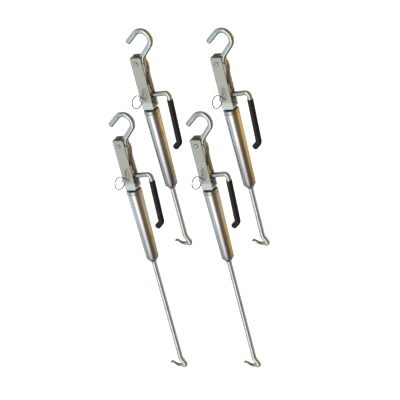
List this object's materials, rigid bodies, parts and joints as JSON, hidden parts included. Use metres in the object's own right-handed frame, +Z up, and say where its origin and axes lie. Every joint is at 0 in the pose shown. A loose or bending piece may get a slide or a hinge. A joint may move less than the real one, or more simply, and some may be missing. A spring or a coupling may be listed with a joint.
{
  "type": "tie-down turnbuckle kit",
  "caption": "Lever tie-down turnbuckles with a spring barrel, a quick-release top hook, a locking pin with pull ring and an adjustable lower hook rod, in long and short forms.",
  "frame": {"origin": "centre of the kit's footprint on the surface it lies on", "axes": "+Y along the turnbuckles towards their lever hooks; +X across them towards their levers; +Z up from the surface"},
  "size_m": [0.3048, 0.7764, 0.0504],
  "materials": {
    "zinc_plated_sheet": "bright zinc plated sheet, slightly cloudy",
    "zinc_plated_bar": "bright zinc plated round bar",
    "polished_steel": "polished stainless steel tube",
    "grey_plating": "dull grey plating",
    "spring_steel": "oiled spring wire",
    "black_vinyl": "black dipped vinyl, semi-gloss"
  },
  "bodies": {
    "long_1_channel": {"long_1_channel": "zinc_plated_sheet", "long_1_lever_pin": "zinc_plated_bar", "long_1_draw_bolt": "grey_plating", "long_1_spring": "spring_steel"},
    "long_1_lever": {"long_1_lever_frame": "zinc_plated_sheet", "long_1_lever_arm": "zinc_plated_bar", "long_1_grip": "black_vinyl", "long_1_link_pin": "zinc_plated_bar"},
    "long_1_hook": {"long_1_top_hook": "zinc_plated_bar"},
    "long_1_lock_pin": {"long_1_lock_pin": "zinc_plated_bar"},
    "long_1_ring": {"long_1_lock_ring": "zinc_plated_bar"},
    "long_1_barrel": {"long_1_barrel_tube": "polished_steel", "long_1_top_cap": "grey_plating", "long_1_end_cap": "polished_steel"},
    "long_1_rod": {"long_1_hook_rod": "zinc_plated_bar"},
    "long_2_channel": {"long_2_channel": "zinc_plated_sheet", "long_2_lever_pin": "zinc_plated_bar", "long_2_draw_bolt": "grey_plating", "long_2_spring": "spring_steel"},
    "long_2_lever": {"long_2_lever_frame": "zinc_plated_sheet", "long_2_lever_arm": "zinc_plated_bar", "long_2_grip": "black_vinyl", "long_2_link_pin": "zinc_plated_bar"},
    "long_2_hook": {"long_2_top_hook": "zinc_plated_bar"},
    "long_2_lock_pin": {"long_2_lock_pin": "zinc_plated_bar"},
    "long_2_ring": {"long_2_lock_ring": "zinc_plated_bar"},
    "long_2_barrel": {"long_2_barrel_tube": "polished_steel", "long_2_top_cap": "grey_plating", "long_2_end_cap": "polished_steel"},
    "long_2_rod": {"long_2_hook_rod": "zinc_plated_bar"},
    "short_1_channel": {"short_1_channel": "zinc_plated_sheet", "short_1_lever_pin": "zinc_plated_bar", "short_1_draw_bolt": "grey_plating", "short_1_spring": "spring_steel"},
    "short_1_lever": {"short_1_lever_frame": "zinc_plated_sheet", "short_1_lever_arm": "zinc_plated_bar", "short_1_grip": "black_vinyl", "short_1_link_pin": "zinc_plated_bar"},
    "short_1_hook": {"short_1_top_hook": "zinc_plated_bar"},
    "short_1_lock_pin": {"short_1_lock_pin": "zinc_plated_bar"},
    "short_1_ring": {"short_1_lock_ring": "zinc_plated_bar"},
    "short_1_barrel": {"short_1_barrel_tube": "polished_steel", "short_1_top_cap": "grey_plating", "short_1_end_cap": "polished_steel"},
    "short_1_rod": {"short_1_hook_rod": "zinc_plated_bar"},
    "short_2_channel": {"short_2_channel": "zinc_plated_sheet", "short_2_lever_pin": "zinc_plated_bar", "short_2_draw_bolt": "grey_plating", "short_2_spring": "spring_steel"},
    "short_2_lever": {"short_2_lever_frame": "zinc_plated_sheet", "short_2_lever_arm": "zinc_plated_bar", "short_2_grip": "black_vinyl", "short_2_link_pin": "zinc_plated_bar"},
    "short_2_hook": {"short_2_top_hook": "zinc_plated_bar"},
    "short_2_lock_pin": {"short_2_lock_pin": "zinc_plated_bar"},
    "short_2_ring": {"short_2_lock_ring": "zinc_plated_bar"},
    "short_2_barrel": {"short_2_barrel_tube": "polished_steel", "short_2_top_cap": "grey_plating", "short_2_end_cap": "polished_steel"},
    "short_2_rod": {"short_2_hook_rod": "zinc_plated_bar"}
  },
  "joints": [
    {"name": "long_1_lift_off", "type": "slide", "parent": "short_2_channel", "child": "long_1_channel", "axis": [0, 0, 1], "range_m": [0, 0.15]},
    {"name": "long_1_lever_swing", "type": "hinge", "parent": "long_1_channel", "child": "long_1_lever", "pos_m": [-0.1256, 0.1563, 0.0155], "axis": [-0.342, 0, 0.9397], "range_deg": [0, 72]},
    {"name": "long_1_hook_link", "type": "hinge", "parent": "long_1_lever", "child": "long_1_hook", "pos_m": [-0.12447, 0.1323, 0.01591], "axis": [-0.342, 0, 0.9397], "range_deg": [-72, 0]},
    {"name": "long_1_lock_pin_pull", "type": "slide", "parent": "long_1_channel", "child": "long_1_lock_pin", "axis": [-0.342, 0, 0.9397], "range_m": [0, 0.03]},
    {"name": "long_1_lock_ring_swing", "type": "hinge", "parent": "long_1_lock_pin", "child": "long_1_ring", "pos_m": [-0.13608, 0.0843, 0.02967], "axis": [0, 1, 0], "range_deg": [-75, 75]},
    {"name": "long_1_barrel_draw", "type": "slide", "parent": "long_1_channel", "child": "long_1_barrel", "axis": [0, -1, 0], "range_m": [0, 0.018], "stiffness_N_per_m": 4000, "springref_m": -0.004, "deforming": ["long_1_spring"]},
    {"name": "long_1_hook_rod_adjust", "type": "slide", "parent": "long_1_barrel", "child": "long_1_rod", "axis": [0, -1, 0], "range_m": [-0.025, 0.03]},
    {"name": "long_2_lift_off", "type": "slide", "parent": "short_2_channel", "child": "long_2_channel", "axis": [0, 0, 1], "range_m": [0, 0.15]},
    {"name": "long_2_lever_swing", "type": "hinge", "parent": "long_2_channel", "child": "long_2_lever", "pos_m": [0.0235, 0.1289, 0.0155], "axis": [-0.342, 0, 0.9397], "range_deg": [0, 72]},
    {"name": "long_2_hook_link", "type": "hinge", "parent": "long_2_lever", "child": "long_2_hook", "pos_m": [0.02463, 0.1049, 0.01591], "axis": [-0.342, 0, 0.9397], "range_deg": [-72, 0]},
    {"name": "long_2_lock_pin_pull", "type": "slide", "parent": "long_2_channel", "child": "long_2_lock_pin", "axis": [-0.342, 0, 0.9397], "range_m": [0, 0.03]},
    {"name": "long_2_lock_ring_swing", "type": "hinge", "parent": "long_2_lock_pin", "child": "long_2_ring", "pos_m": [0.01302, 0.0569, 0.02967], "axis": [0, 1, 0], "range_deg": [-75, 75]},
    {"name": "long_2_barrel_draw", "type": "slide", "parent": "long_2_channel", "child": "long_2_barrel", "axis": [0, -1, 0], "range_m": [0, 0.018], "stiffness_N_per_m": 4000, "springref_m": -0.004, "deforming": ["long_2_spring"]},
    {"name": "long_2_hook_rod_adjust", "type": "slide", "parent": "long_2_barrel", "child": "long_2_rod", "axis": [0, -1, 0], "range_m": [-0.025, 0.03]},
    {"name": "short_1_lift_off", "type": "slide", "parent": "short_2_channel", "child": "short_1_channel", "axis": [0, 0, 1], "range_m": [0, 0.15]},
    {"name": "short_1_lever_swing", "type": "hinge", "parent": "short_1_channel", "child": "short_1_lever", "pos_m": [-0.0492, 0.3187, 0.0155], "axis": [-0.342, 0, 0.9397], "range_deg": [0, 72]},
    {"name": "short_1_hook_link", "type": "hinge", "parent": "short_1_lever", "child": "short_1_hook", "pos_m": [-0.04807, 0.2947, 0.01591], "axis": [-0.342, 0, 0.9397], "range_deg": [-72, 0]},
    {"name": "short_1_lock_pin_pull", "type": "slide", "parent": "short_1_channel", "child": "short_1_lock_pin", "axis": [-0.342, 0, 0.9397], "range_m": [0, 0.03]},
    {"name": "short_1_lock_ring_swing", "type": "hinge", "parent": "short_1_lock_pin", "child": "short_1_ring", "pos_m": [-0.05968, 0.2467, 0.02967], "axis": [0, 1, 0], "range_deg": [-75, 75]},
    {"name": "short_1_barrel_draw", "type": "slide", "parent": "short_1_channel", "child": "short_1_barrel", "axis": [0, -1, 0], "range_m": [0, 0.018], "stiffness_N_per_m": 4000, "springref_m": -0.004, "deforming": ["short_1_spring"]},
    {"name": "short_1_hook_rod_adjust", "type": "slide", "parent": "short_1_barrel", "child": "short_1_rod", "axis": [0, -1, 0], "range_m": [-0.025, 0.03]},
    {"name": "short_2_lever_swing", "type": "hinge", "parent": "short_2_channel", "child": "short_2_lever", "pos_m": [0.1026, 0.2899, 0.0155], "axis": [-0.342, 0, 0.9397], "range_deg": [0, 72]},
    {"name": "short_2_hook_link", "type": "hinge", "parent": "short_2_lever", "child": "short_2_hook", "pos_m": [0.10373, 0.2659, 0.01591], "axis": [-0.342, 0, 0.9397], "range_deg": [-72, 0]},
    {"name": "short_2_lock_pin_pull", "type": "slide", "parent": "short_2_channel", "child": "short_2_lock_pin", "axis": [-0.342, 0, 0.9397], "range_m": [0, 0.03]},
    {"name": "short_2_lock_ring_swing", "type": "hinge", "parent": "short_2_lock_pin", "child": "short_2_ring", "pos_m": [0.09212, 0.2179, 0.02967], "axis": [0, 1, 0], "range_deg": [-75, 75]},
    {"name": "short_2_barrel_draw", "type": "slide", "parent": "short_2_channel", "child": "short_2_barrel", "axis": [0, -1, 0], "range_m": [0, 0.018], "stiffness_N_per_m": 4000, "springref_m": -0.004, "deforming": ["short_2_spring"]},
    {"name": "short_2_hook_rod_adjust", "type": "slide", "parent": "short_2_barrel", "child": "short_2_rod", "axis": [0, -1, 0], "range_m": [-0.025, 0.03]}
  ],
  "couplings": [
    {"joint": "long_1_hook_link", "follows": "long_1_lever_swing", "ratio": -1},
    {"joint": "long_2_hook_link", "follows": "long_2_lever_swing", "ratio": -1},
    {"joint": "short_1_hook_link", "follows": "short_1_lever_swing", "ratio": -1},
    {"joint": "short_2_hook_link", "follows": "short_2_lever_swing", "ratio": -1}
  ]
}
